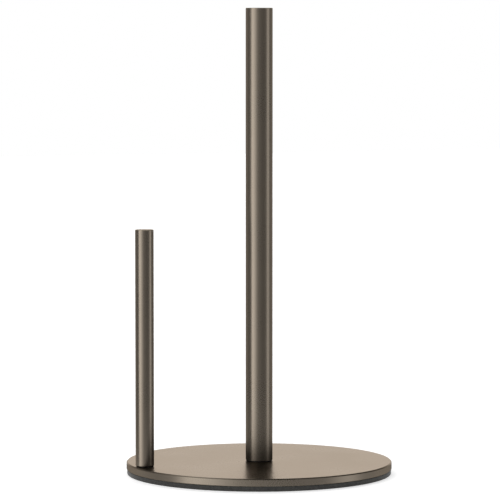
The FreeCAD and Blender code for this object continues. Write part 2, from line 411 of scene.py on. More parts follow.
@dataclass(frozen=True)
class MachinedSteel(Finish):
    """Turned steel under a thin finish, bright zinc or black oxide.

    The tool leaves fine lines round the piece, and the finish is uneven and worn at the edges.
    """

    tone: str = "B9BCC0"
    deep: str = "9EA2A8"
    bare: str = "D2D4D6"
    roughness: float = 0.32
    smoother: float = 0.06  # how far the roughness goes below its middle
    rougher: float = 0.08  # and above it
    cloud_size: float = 3 * MM
    line_spacing: float = 0.3 * MM
    line_length: float = 25.0  # times the spacing
    line_strength: float = 0.2
    line_depth: float = 0.01 * MM

    def dress(self, net: Net) -> dict[str, Any]:
        """Lays the tool's lines round the piece, and lets the bare steel show at its edges."""
        along = Vector((self.line_length, self.line_length, 1.0))
        lines = net.grain(self.line_spacing, 2.0, along)
        cloud = net.grain(self.cloud_size, 2.0)
        patch = net.add("ShaderNodeMapRange", [cloud, *NOISE_SPAN])
        inputs = {SHARE: patch, FIRST: linear(self.tone), SECOND: linear(self.deep)}
        body = net.add("ShaderNodeMix", inputs, data_type="RGBA").outputs[MIXED]
        edges = net.add("ShaderNodeAttribute", attribute_name=EDGE).outputs["Fac"]
        worn = net.add("ShaderNodeMath", [edges, patch], operation="MULTIPLY")
        inputs = {SHARE: worn, FIRST: body, SECOND: linear(self.bare)}
        colour = net.add("ShaderNodeMix", inputs, data_type="RGBA").outputs[MIXED]
        limits = (self.roughness - self.smoother, self.roughness + self.rougher)
        inputs = {"Strength": self.line_strength, "Distance": self.line_depth, "Height": lines}
        return {
            "Base Color": colour,
            "Roughness": net.add("ShaderNodeMapRange", [cloud, *NOISE_SPAN, *limits]),
            "Normal": net.add("ShaderNodeBump", inputs),
            "Metallic": 1.0,
        }


@dataclass(frozen=True)
class FloorSheen(Finish):
    """The lit sheet's own light as it shows, low and soft, in metal that stands close to it."""

    strength: float = 0.55
    share: float = 0.35
    near: float = 0.12
    far: float = 0.35

    def fill(self, net: Net) -> None:
        """Makes a clear glow that fades with the distance from the holder."""
        place = net.add("ShaderNodeTexCoord").outputs["Object"]
        away = net.add("ShaderNodeVectorMath", [place], operation="LENGTH").outputs["Value"]
        limits = [away, self.near, self.far, self.share, 0.0]
        fade = net.add("ShaderNodeMapRange", limits, interpolation_type="SMOOTHSTEP")
        clear = net.add("ShaderNodeBsdfTransparent")
        glow = net.add("ShaderNodeEmission", {"Color": linear(WHITE), "Strength": self.strength})
        mixed = net.add("ShaderNodeMixShader", [fade, clear, glow])
        net.add("ShaderNodeOutputMaterial", {"Surface": mixed})


@dataclass(frozen=True)
class PaleFloor(Finish):
    """Opal acrylic sheet, lit from below as a light table is: plain, matt and almost shadowless."""

    tone: str = "E6E6E6"
    glow: float = 0.57
    roughness: float = 0.9

    def dress(self, net: Net) -> dict[str, Any]:
        """Leaves the sheet plain and matt, with its own light."""
        return {
            "Emission Color": linear(WHITE),
            "Emission Strength": self.glow,
            "Base Color": linear(self.tone),
            "Roughness": self.roughness,
            "Specular IOR Level": 0.0,
        }


# ---------------------------------------------------------------------------------------------
# Outlines and turned pieces
# ---------------------------------------------------------------------------------------------


@dataclass(frozen=True)
class Corner:
    """A corner of an outline: its distance from the axis, its height and how far it is eased.

    edge, flats and thread are 1 where the surface is eased, six-sided or threaded.
    """

    radius: float
    height: float
    ease: float = 0.0
    edge: float = 0.0
    flats: float = 0.0
    thread: float = 0.0


@dataclass(frozen=True)
class Outline:
    """Half of a turned piece's section, as its corners in order round it.

    A closed outline goes round a ring-shaped piece. An open one starts and ends on the axis.
    """

    corners: Sequence[Corner]
    closed: bool = True
    hold: float = 0.12 * MM  # a flat keeps its own shading up to this near an eased corner
    step: float = math.radians(12)  # the turn from one point of an eased corner to the next

    def points(self) -> list[Corner]:
        """The outline with its corners eased.

        Returns:
            The points in order. A closed outline ends on its first point.
        """
        made: list[Corner] = []
        count = len(self.corners)
        for index, corner in enumerate(self.corners):
            before = self.corners[index - 1]
            after = self.corners[(index + 1) % count]
            made += self._eased(before, corner, after) if corner.ease else [corner]
        if self.closed:
            made.append(made[0])
        return made

    def _eased(self, before: Corner, corner: Corner, after: Corner) -> list[Corner]:
        """The arc that eases one corner, with a point on the straight on each side of it.

        Args:
            before: The corner before it.
            corner: The corner to ease.
            after: The corner after it.

        Returns:
            The points in its place.
        """
        here = Vector((corner.radius, corner.height))
        back = Vector((before.radius, before.height)) - here
        on = Vector((after.radius, after.height)) - here
        inside = back.angle(on)
        reach = corner.ease / math.tan(inside / 2)
        middle = (back.normalized() + on.normalized()).normalized()
        centre = here + middle * (corner.ease / math.sin(inside / 2))
        first = here + back.normalized() * reach - centre
        turn = math.pi - inside
        way = 1.0 if back.x * on.y - back.y * on.x < 0 else -1.0
        steps = max(2, math.ceil(turn / self.step))
        made = []
        if reach + self.hold < back.length / 2:
            held = here + back.normalized() * (reach + self.hold)
            made.append(Corner(held.x, held.y))
        for number in range(steps + 1):
            spoke = Matrix.Rotation(way * turn * number / steps, 2) @ first
            made.append(Corner(centre.x + spoke.x, centre.y + spoke.y, edge=1.0))
        if reach + self.hold < on.length / 2:
            held = here + on.normalized() * (reach + self.hold)
            made.append(Corner(held.x, held.y))
        return made


def plain(inner: float, outer: float, foot: float, head: float, ease: float = 0.0) -> Outline:
    """The outline of a plain ring, or of a solid disc where the inner radius is 0.

    Args:
        inner: The hole's radius.
        outer: The radius.
        foot: Where it starts.
        head: Where it ends.
        ease: How far its corners are eased.

    Returns:
        The outline.
    """
    ring = ((inner, foot), (outer, foot), (outer, head), (inner, head))
    return Outline([Corner(radius, height, ease) for radius, height in ring], closed=inner > 0)


@dataclass(frozen=True)
class Thread:
    """A metric coarse thread."""

    pitch: float
    depth: float
    rows: int = 12  # rows of faces in one pitch

    def between(self, radius: float, low: float, high: float) -> list[Corner]:
        """Points along a threaded stretch, running out over a pitch at its ends.

        Args:
            radius: The thread's crest.
            low: Where the stretch starts.
            high: Where it ends.

        Returns:
            The points, upwards.
        """
        count = max(2, round((high - low) / self.pitch * self.rows))
        made = []
        for number in range(count + 1):
            height = low + (high - low) * number / count
            share = min(height - low, high - height) / self.pitch
            made.append(Corner(radius, height, thread=min(1.0, max(0.0, share))))
        return made


M6 = Thread(pitch=1.0 * MM, depth=0.61 * MM)
M5 = Thread(pitch=0.8 * MM, depth=0.49 * MM)


class Lathe:
    """Turns outlines into pieces, with one geometry nodes tree for all of them.

    The tree lays a grid whose rows are the outline's points and whose columns go round the
    axis. Six-sided stretches and threads change a point's distance from the axis on the way.
    """

    def __init__(self) -> None:
        """Builds the tree."""
        wanted = {
            "Outline": "NodeSocketGeometry",
            "Segments": "NodeSocketInt",
            "Centre": "NodeSocketVector",
            "Pitch": "NodeSocketFloat",
            "Depth": "NodeSocketFloat",
            "Material": "NodeSocketMaterial",
        }
        self.net = ShapeNet("turned_piece", wanted)
        self._build()

    def _six_sided(self, reach: Feed, angle: Feed, share: Feed) -> Feed:
        """The distance from the axis, with the round replaced by a hexagon where it is asked for.

        Args:
            reach: Half of the hexagon's size across its flats, or the radius.
            angle: The angle round the axis.
            share: 1 where the surface is six-sided.

        Returns:
            The new distance.
        """
        net = self.net
        sector = math.tau / 6
        within = net.add("ShaderNodeMath", [angle, sector], operation="FLOORED_MODULO")
        off = net.add("ShaderNodeMath", [within, sector / 2], operation="SUBTRACT")
        lean = net.add("ShaderNodeMath", [off], operation="COSINE")
        corner = net.add("ShaderNodeMath", [reach, lean], operation="DIVIDE")
        over = net.add("ShaderNodeMath", [corner, reach], operation="SUBTRACT")
        more = net.add("ShaderNodeMath", [over, share], operation="MULTIPLY")
        return net.add("ShaderNodeMath", [reach, more], operation="ADD")

    def _threaded(self, reach: Feed, angle: Feed, height: Feed, share: Feed) -> Feed:
        """The distance from the axis, cut back by a thread where it is asked for.

        The crest is an eighth of the pitch wide and the root a quarter.

        Args:
            reach: The distance before.
            angle: The angle round the axis.
            height: The height.
            share: 1 where the surface is threaded.

        Returns:
            The new distance.
        """
        net = self.net
        crest, root = 1 / 16, 1 / 2 - 1 / 8
        climbed = net.add("ShaderNodeMath", [height, net.given["Pitch"]], operation="DIVIDE")
        turned = net.add("ShaderNodeMath", [angle, math.tau], operation="DIVIDE")
        ahead = net.add("ShaderNodeMath", [climbed, turned], operation="SUBTRACT")
        phase = net.add("ShaderNodeMath", [ahead], operation="FRACT")
        off = net.add("ShaderNodeMath", [phase, 0.5], operation="SUBTRACT")
        middle = net.add("ShaderNodeMath", [off], operation="ABSOLUTE")
        sunk = net.add("ShaderNodeMapRange", [middle, crest, root])
        cut = net.add("ShaderNodeMath", [sunk, net.given["Depth"]], operation="MULTIPLY")
        gone = net.add("ShaderNodeMath", [cut, share], operation="MULTIPLY")
        return net.add("ShaderNodeMath", [reach, gone], operation="SUBTRACT")

    def _build(self) -> None:
        """Lays the grid, bends it round the axis, closes it and gives it its material."""
        net = self.net
        outline, segments = net.given["Outline"], net.given["Segments"]
        size = net.add("GeometryNodeAttributeDomainSize", {"Geometry": outline})
        rows = size.outputs["Point Count"]
        along = net.add("ShaderNodeMath", [rows, 1.0], operation="SUBTRACT")
        columns = net.add("ShaderNodeMath", [segments, 1.0], operation="ADD")
        grid = net.add("GeometryNodeMeshGrid", [along, segments, rows, columns])
        place = net.add("GeometryNodeInputPosition")
        across = net.add("ShaderNodeSeparateXYZ", [place]).outputs
        half = net.add("ShaderNodeMath", [along, 2.0], operation="DIVIDE")
        from_first = net.add("ShaderNodeMath", [across[0], half], operation="ADD")
        row = net.add("ShaderNodeMath", [from_first], operation="ROUND")
        half = net.add("ShaderNodeMath", [segments, 2.0], operation="DIVIDE")
        from_first = net.add("ShaderNodeMath", [across[1], half], operation="ADD")
        column = net.add("ShaderNodeMath", [from_first], operation="ROUND")
        turns = net.add("ShaderNodeMath", [column, segments], operation="DIVIDE")
        angle = net.add("ShaderNodeMath", [turns, math.tau], operation="MULTIPLY")
        inputs = {"Geometry": outline, "Value": place, "Index": row}
        point = net.add("GeometryNodeSampleIndex", inputs, data_type="FLOAT_VECTOR")
        part = net.add("ShaderNodeSeparateXYZ", [point]).outputs
        marks = {}
        for word in (FLATS, THREAD, EDGE):
            mark = net.add("GeometryNodeInputNamedAttribute", {"Name": word}, data_type="FLOAT")
            inputs = {"Geometry": outline, "Value": mark, "Index": row}
            marks[word] = net.add("GeometryNodeSampleIndex", inputs, data_type="FLOAT")
        reach = self._six_sided(part[0], angle, marks[FLATS])
        reach = self._threaded(reach, angle, part[2], marks[THREAD])
        cosine = net.add("ShaderNodeMath", [angle], operation="COSINE")
        sine = net.add("ShaderNodeMath", [angle], operation="SINE")
        x = net.add("ShaderNodeMath", [reach, cosine], operation="MULTIPLY")
        y = net.add("ShaderNodeMath", [reach, sine], operation="MULTIPLY")
        spot = net.add("ShaderNodeCombineXYZ", [x, y, part[2]])
        # The edge value is read from the outline by row, so it is kept before the grid is bent.
        inputs = {"Geometry": grid, "Name": EDGE, "Value": marks[EDGE]}
        kind = "GeometryNodeStoreNamedAttribute"
        kept = net.add(kind, inputs, data_type="FLOAT", domain="POINT")
        inputs = {"Geometry": kept, "Position": spot, "Offset": net.given["Centre"]}
        bent = net.add("GeometryNodeSetPosition", inputs)
        inputs = {"Geometry": bent, "Distance": SAME_SPOT}
        net.give_out(net.add("GeometryNodeMergeByDistance", inputs))

    def turn(
        self,
        name: str,
        outline: Outline,
        centre: Vector,
        material: bpy.types.Material | None = None,
        segments: int = 96,
        thread: Thread = M6,
    ) -> Piece:
        """Turns one piece.

        Args:
            name: The piece's name.
            outline: Its section.
            centre: A point on its axis; only x and y count.
            material: Its material.
            segments: How many faces go round it.
            thread: The thread that its threaded stretches have.

        Returns:
            The piece, as a plain mesh.
        """
        points = outline.points()
        mesh = bpy.data.meshes.new(name)
        links = [(i, i + 1) for i in range(len(points) - 1)]
        mesh.from_pydata([(p.radius, 0.0, p.height) for p in points], links, [])
        for word in (EDGE, FLATS, THREAD):
            layer = mesh.attributes.new(word, "FLOAT", "POINT")
            layer.data.foreach_set("value", [getattr(p, word) for p in points])
        piece = bpy.data.objects.new(name, mesh)
        bpy.context.scene.collection.objects.link(piece)
        values = {
            "Segments": segments,
            "Centre": (centre.x, centre.y, 0.0),
            "Pitch": thread.pitch,
            "Depth": thread.depth,
            "Material": material,
        }
        self.net.run(piece, values)
        return piece


def settle(piece: Piece) -> None:
    """Turns a piece with live modifiers into a plain, closed mesh with outward faces.

    Args:
        piece: The piece. Its modifiers are removed.
    """
    graph = bpy.context.evaluated_depsgraph_get()
    mesh = bpy.data.meshes.new_from_object(
        piece.evaluated_get(graph), preserve_all_data_layers=True, depsgraph=graph
    )
    piece.modifiers.clear()
    rough = piece.data
    piece.data = mesh
    bpy.data.meshes.remove(rough)
    mesh.name = piece.name
    worn = [material for material in mesh.materials if material]
    mesh.materials.clear()
    for material in worn[:1]:
        mesh.materials.append(material)
    mesh.polygons.foreach_set("material_index", [0] * len(mesh.polygons))
    shell = bmesh.new()
    shell.from_mesh(mesh)
    bmesh.ops.dissolve_degenerate(shell, dist=NO_LENGTH, edges=shell.edges)
    bmesh.ops.recalc_face_normals(shell, faces=shell.faces)
    shell.to_mesh(mesh)
    shell.free()
    mesh.shade_smooth()
    mesh.set_sharp_from_angle(angle=SHARP)


def cut_away(piece: Piece, cutter: Piece) -> None:
    """Cuts one closed mesh out of another.

    Args:
        piece: The mesh that stays.
        cutter: The mesh that is taken away, and then removed.
    """
    modifier = piece.modifiers.new("cut", "BOOLEAN")
    modifier.operation = "DIFFERENCE"
    modifier.solver = "EXACT"
    modifier.object = cutter
    settle(piece)
    spent = cutter.data
    bpy.data.objects.remove(cutter)
    bpy.data.meshes.remove(spent)


def hand_over(piece: Piece, node: str) -> None:
    """Puts a finished piece in the place of its CAD node.

    Args:
        piece: The piece.
        node: The CAD node that it stands for.
    """
    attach(piece, BODY)
    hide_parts(node)
    log.info("%s stands for %s, %d faces", piece.name, node, len(piece.data.polygons))


@dataclass(frozen=True)
class Place:
    """A round CAD node's axis, radius, foot and head."""

    axis: Vector
    radius: float
    foot: float
    head: float

    @classmethod
    def of(cls, node: str) -> "Place":
        """Reads the place of a CAD node.

        Args:
            node: The node's name.

        Returns:
            Its place.
        """
        low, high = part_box(node)
        middle = (low + high) / 2
        width = max(high.x - low.x, high.y - low.y)
        axis = Vector((round(middle.x, AXIS_DECIMALS), round(middle.y, AXIS_DECIMALS), 0.0))
        return cls(axis, width / 2, low.z, high.z)


# ---------------------------------------------------------------------------------------------
# The base: steel disc, adhesive film and foam pad
# ---------------------------------------------------------------------------------------------


@dataclass(frozen=True)
class Seat:
    """A countersunk hole for a screw, and the way to it through the pad."""

    clearance: float  # radius of the hole
    mouth: float  # radius of the countersink at the disc's underside
    access: float  # radius of the hole in the pad


@dataclass
class Base:
    """The steel disc and the pad that it stands on."""

    lathe: Lathe
    coat: BronzeCoat
    foam: FoamRubber
    film: AdhesiveFilm
    centre_seat: Seat = Seat(3.3 * MM, 6.62 * MM, 8.0 * MM)
    arm_seat: Seat = Seat(2.75 * MM, 5.62 * MM, 5.5 * MM)
    upper_bevel: float = 0.75 * MM
    lower_bevel: float = 0.3 * MM
    upper_ease: float = 0.12 * MM
    lower_ease: float = 0.10 * MM
    hole_ease: float = 0.05 * MM
    film_relief: float = 0.2 * MM
    past: float = 1.0 * MM  # how far a cutter reaches past the face that it cuts
    rim_segments: int = 512
    film_segments: int = 256
    foam_segments: int = 1200
    foam_edge: float = 0.25 * MM  # how far the pad's rim is eased
    foam_hole_ease: float = 0.2 * MM
    cell_rows: int = 10
    cell_depth: float = 0.12 * MM
    arm_axis: Vector = field(default_factory=lambda: Place.of("arm_tube").axis)

    def build(self) -> None:
        """Makes the disc, the film and the pad."""
        self._disc()
        self._film()
        self._pad()

    def _disc(self) -> None:
        """The steel disc: bevelled rim, and a countersunk hole under each upright."""
        place = Place.of("base_plate")
        seat = self.centre_seat
        rim = place.radius
        corners = [
            Corner(seat.mouth, place.foot, self.hole_ease),
            Corner(rim - self.lower_bevel, place.foot, self.lower_ease),
            Corner(rim, place.foot + self.lower_bevel, self.lower_ease),
            Corner(rim, place.head - self.upper_bevel, self.upper_ease),
            Corner(rim - self.upper_bevel, place.head, self.upper_ease),
            Corner(seat.clearance, place.head, self.hole_ease),
            Corner(seat.clearance, place.foot + seat.mouth - seat.clearance, self.hole_ease),
        ]
        material = self.coat.material()
        outline = Outline(corners)
        disc = self.lathe.turn("steel_disc", outline, place.axis, material, self.rim_segments)
        cut_away(disc, self._seat_cutter(place))
        hand_over(disc, "base_plate")

    def _seat_cutter(self, place: Place) -> Piece:
        """The shape of the countersunk hole under the arm."""
        seat = self.arm_seat
        below = place.foot - self.past
        corners = [
            Corner(0.0, below),
            Corner(seat.mouth + self.past, below),
            Corner(seat.clearance, place.foot + seat.mouth - seat.clearance),
            Corner(seat.clearance, place.head + self.past),
            Corner(0.0, place.head + self.past),
        ]
        return self.lathe.turn("arm_seat", Outline(corners, closed=False), self.arm_axis)

    def _access_cutter(self, place: Place, radius: float) -> Piece:
        """The shape of a straight hole under the arm, through one layer of the base."""
        outline = plain(0.0, radius, place.foot - self.past, place.head + self.past)
        return self.lathe.turn("arm_access", outline, self.arm_axis)

    def _film(self) -> None:
        """The adhesive film between the pad and the disc."""
        place = Place.of("pad_film")
        hole = self.centre_seat.access + self.film_relief
        outline = plain(hole, place.radius, place.foot, place.head)
        material = self.film.material()
        film = self.lathe.turn("film_sheet", outline, place.axis, material, self.film_segments)
        cut_away(film, self._access_cutter(place, self.arm_seat.access + self.film_relief))
        hand_over(film, "pad_film")

    def _pad(self) -> None:
        """The foam pad, die-cut from sheet: soft-edged, with open cells round its rim."""
        place = Place.of("base_pad")
        hole = self.centre_seat.access
        soft = self.foam_edge
        rise = (place.head - place.foot - 2 * soft) / self.cell_rows
        # Between these two the faces are flat, and the cells at the edges don't tilt their shading.
        flat_from, flat_to = hole + 3 * soft, place.radius - 2 * soft
        wall = [
            Corner(place.radius, place.foot + soft + rise * row, edge=1.0)
            for row in range(self.cell_rows + 1)
        ]
        corners = [
            Corner(hole, place.foot, self.foam_hole_ease),
            Corner(flat_from, place.foot),
            Corner(flat_to, place.foot),
            Corner(place.radius - soft, place.foot),
            *wall,
            Corner(place.radius - soft, place.head),
            Corner(flat_to, place.head),
            Corner(flat_from, place.head),
            Corner(hole, place.head, self.foam_hole_ease),
        ]
        material = self.foam.material()
        outline = Outline(corners)
        pad = self.lathe.turn("foam_pad", outline, place.axis, material, self.foam_segments)
        OpenCells(self.foam.cell_size, self.cell_depth).cut(pad)
        cut_away(pad, self._access_cutter(place, self.arm_seat.access))
        hand_over(pad, "base_pad")


@dataclass
class OpenCells:
    """Geometry nodes that press the open cells of cut foam into a piece's edges."""

    size: float
    depth: float
    seed: float = 7.0
    detail: float = 3.0  # finer layers of cells
    span: tuple[float, float] = (0.42, 0.75)  # the noise at which a cell starts and is full

    def cut(self, piece: Piece) -> None:
        """Presses the cells into a piece.

        Args:
            piece: A foam piece, whose edges are marked.
        """
        wanted = {
            "Foam": "NodeSocketGeometry",
            "Cell Size": "NodeSocketFloat",
            "Depth": "NodeSocketFloat",
            "Seed": "NodeSocketFloat",
            "Material": "NodeSocketMaterial",
        }
        net = ShapeNet("open_cells", wanted)
        finer = net.add("ShaderNodeMath", [1.0, net.given["Cell Size"]], operation="DIVIDE")
        inputs = {"W": net.given["Seed"], "Scale": finer, "Detail": self.detail}
        noise = net.add("ShaderNodeTexNoise", inputs, noise_dimensions="4D")
        hollow = net.add("ShaderNodeMapRange", [noise, *self.span])
        edge = net.add("GeometryNodeInputNamedAttribute", {"Name": EDGE}, data_type="FLOAT")
        pit = net.add("ShaderNodeMath", [hollow, edge], operation="MULTIPLY")
        inward = net.add("ShaderNodeMath", [pit, -1.0], operation="MULTIPLY")
        travel = net.add("ShaderNodeMath", [inward, net.given["Depth"]], operation="MULTIPLY")
        inputs = {0: net.add("GeometryNodeInputNormal"), "Scale": travel}
        push = net.add("ShaderNodeVectorMath", inputs, operation="SCALE")
        inputs = {"Geometry": net.given["Foam"], "Offset": push}
        net.give_out(net.add("GeometryNodeSetPosition", inputs))
        values = {"Cell Size": self.size, "Depth": self.depth, "Seed": self.seed}
        net.run(piece, {**values, "Material": piece.data.materials[0]})


# ---------------------------------------------------------------------------------------------
# The uprights: tube, cap, plug, foot ring and screw
# ---------------------------------------------------------------------------------------------


@dataclass(frozen=True)
class ScrewSize:
    """A countersunk screw with a hexagon socket, by its thread."""

    thread: Thread
    radius: float
    socket: float  # half of the size across the flats
    socket_depth: float
    rim: float = 0.4 * MM
    rim_ease: float = 0.06 * MM
    face_ease: float = 0.08 * MM
    neck_ease: float = 0.2 * MM
    plain: float = 1.5 * MM  # the stretch between head and thread
    point: float = 0.6 * MM
    drill_depth: float = 0.5 * MM  # of the cone at the socket's end
    drill_gap: float = 0.2 * MM  # between the cone's rim and the flats
    lead_in: float = 0.15 * MM  # bevel at the socket's mouth


@dataclass
class Post:
    """One upright: a tube with a cap in its head, a plug in its foot, a ring and a screw."""

    kind: Upright
    lathe: Lathe
    coat: BronzeCoat
    nylon: NylonRingAndFootShade
    zinc: MachinedSteel
    black: MachinedSteel
    screw: ScrewSize
    head_round: float = 0.5 * MM
    foot_bevel: float = 0.3 * MM
    foot_ease: float = 0.08 * MM
    ease: float = 0.05 * MM
    seam: float = 0.15 * MM
    seam_ease: float = 0.04 * MM
    press_gap: float = 0.02 * MM
    thread_gap: float = 0.05 * MM
    plug_bevel: float = 0.5 * MM
    plug_lead: float = 0.1 * MM  # bevel at the plug's foot, and the thread's end below its head
    groove: float = 0.25 * MM  # depth of a glue groove round the plug
    grooves: tuple[float, float] = (0.35, 0.65)  # where they start, as shares of its length
    hole: float = 3.3 * MM  # radius of the ring's hole
    ring_ease: float = 0.1 * MM
    tube_segments: int = 192
    disc_segments: int = 128
    screw_segments: int = 96

    def node(self, part: str) -> str:
        """The CAD node of one of the upright's parts."""
        return f"{self.kind.value}_{part}"

    def build(self) -> None:
        """Makes the upright's five pieces."""
        self._tube()
        self._cap()
        self._plug()
        self._ring()
        self._screw()

    def _make(
        self, part: str, name: str, outline: Outline, finish: Finish, segments: int
    ) -> None:
        """Turns one part and puts it in its place.

        Args:
            part: The last words of its CAD node.
            name: The last words of its own name.
            outline: Its section.
            finish: Its finish.
            segments: How many faces go round it.
        """
        node = self.node(part)
        own = f"{self.kind.value}_{name}"
        axis, thread = Place.of(node).axis, self.screw.thread
        piece = self.lathe.turn(own, outline, axis, finish.material(), segments, thread)
        hand_over(piece, node)

    def _tube(self) -> None:
        """The tube: eased at its head, with a fine seam round the cap."""
        place = Place.of(self.node("tube"))
        bore = Place.of(self.node("cap")).radius + self.press_gap
        corners = [
            Corner(bore, place.foot, self.ease),
            Corner(place.radius - self.foot_bevel, place.foot, self.foot_ease),
            Corner(place.radius, place.foot + self.foot_bevel, self.foot_ease),
            Corner(place.radius, place.head, self.head_round),
            Corner(bore + self.seam, place.head, self.seam_ease),
            Corner(bore, place.head - self.seam, self.seam_ease),
        ]
        self._make("tube", "wall", Outline(corners), self.coat, self.tube_segments)

    def _cap(self) -> None:
        """The cap: a turned disc, flush with the tube's head."""
        place = Place.of(self.node("cap"))
        centre = tuple(place.axis[:2])
        face = TurnedBronze(f"turned bronze on the {self.kind.value}", self.coat.slot, centre=centre)
        corners = [
            Corner(0.0, place.foot),
            Corner(place.radius - self.plug_bevel, place.foot, self.ease),
            Corner(place.radius, place.foot + self.plug_bevel, self.ease),
            Corner(place.radius, place.head - self.seam, self.seam_ease),
            Corner(place.radius - self.seam, place.head, self.seam_ease),
            Corner(0.0, place.head),
        ]
        outline = Outline(corners, closed=False)
        self._make("cap", "head_disc", outline, face, self.disc_segments)

    def _plug(self) -> None:
        """The plug: bevelled, grooved for glue and threaded for its screw."""
        place = Place.of(self.node("plug"))
        bore = self.screw.radius + self.thread_gap
        low, high = place.foot + self.plug_bevel, place.head - self.plug_bevel
        wide = place.radius
        deep = wide - self.groove
        corners = [
            Corner(bore + self.plug_bevel, place.foot),
            Corner(wide - self.plug_lead, place.foot, self.seam_ease),
            Corner(wide, place.foot + self.plug_lead, self.seam_ease),
        ]
        for share in self.grooves:
            start = low + (high - low) * share
            corners += [
                Corner(wide, start, self.ease),
                Corner(deep, start + self.groove),
                Corner(deep, start + 3 * self.groove),
                Corner(wide, start + 4 * self.groove, self.ease),
            ]
        corners += [
            Corner(wide, high, self.ease),
            Corner(wide - self.plug_bevel, place.head, self.ease),
            Corner(bore, place.head),
            *reversed(self.screw.thread.between(bore, low, place.head - self.plug_lead)),
        ]
        self._make("plug", "threaded_plug", Outline(corners), self.zinc, self.screw_segments)

    def _ring(self) -> None:
        """The nylon ring under the tube's foot; its black band also paints the contact shade there.
        """
        place = Place.of(self.node("foot_ring"))
        outline = plain(self.hole, place.radius, place.foot, place.head, self.ring_ease)
        self._make("foot_ring", "nylon_ring_and_foot_shade", outline, self.nylon, self.disc_segments)

    def _screw(self) -> None:
        """The countersunk screw: hexagon socket, head, plain neck, thread and point."""
        place = Place.of(self.node("screw"))
        size = self.screw
        head, face, tip = place.radius, place.foot, place.head
        roof = face + size.socket_depth
        neck = face + size.rim + head - size.radius
        across_corners = size.socket / math.cos(math.pi / 6)
        corners = [
            Corner(0.0, roof + size.drill_depth),
            Corner(size.socket - size.drill_gap, roof),
            Corner(size.socket, roof, flats=1.0),
            Corner(size.socket, face + size.lead_in, flats=1.0, edge=0.5),
            Corner(across_corners + size.lead_in, face, edge=1.0),
            Corner(head, face, size.face_ease),
            Corner(head, face + size.rim, size.rim_ease),
            Corner(size.radius, neck, size.neck_ease),
            *size.thread.between(size.radius, neck + size.plain, tip - size.point),
            Corner(size.radius - size.point, tip),
            Corner(0.0, tip),
        ]
        outline = Outline(corners, closed=False)
        self._make("screw", "socket_screw", outline, self.black, self.screw_segments)


# ---------------------------------------------------------------------------------------------
# The studio: floor, lights and camera
# ---------------------------------------------------------------------------------------------


@dataclass(frozen=True)
class SoftBox:
    """A soft light panel, far away, by the angles at which it starts, is full, fades and ends.

    Azimuth is counted in degrees from the camera's own direction, to the right, and elevation
    from level. A panel on both sides counts its azimuth alike to the left and to the right.
    """

    azimuth: tuple[float, float, float, float]
    elevation: tuple[float, float, float, float]
    strength: float
    both_sides: bool = False


LEFT_PANEL = SoftBox((-74, -69, -66, 0), (-70, -45, 38, 56), 1.21)
RIGHT_PANEL = SoftBox((60, 80, 87, 101), (-70, -45, 25, 45), 0.63)
BACK_PANEL = SoftBox((152, 166, 200, 220), (-4, 5, 30, 50), 1.0, both_sides=True)
SIDE_GLOW = SoftBox((104, 128, 150, 165), (-70, -45, 5, 22), 0.18, both_sides=True)
FRONT_GLOW = SoftBox((-20, -4, 8, 26), (-70, -45, 38, 56), 0.05)
SKY_GLOW = SoftBox((-128, -108, 76, 98), (20, 34, 54, 66), 0.32)
TOP_PANEL = SoftBox((-150, -125, -80, -60), (50, 62, 80, 86), 0.42)
PANELS = (LEFT_PANEL, RIGHT_PANEL, BACK_PANEL, SIDE_GLOW, FRONT_GLOW, SKY_GLOW, TOP_PANEL)


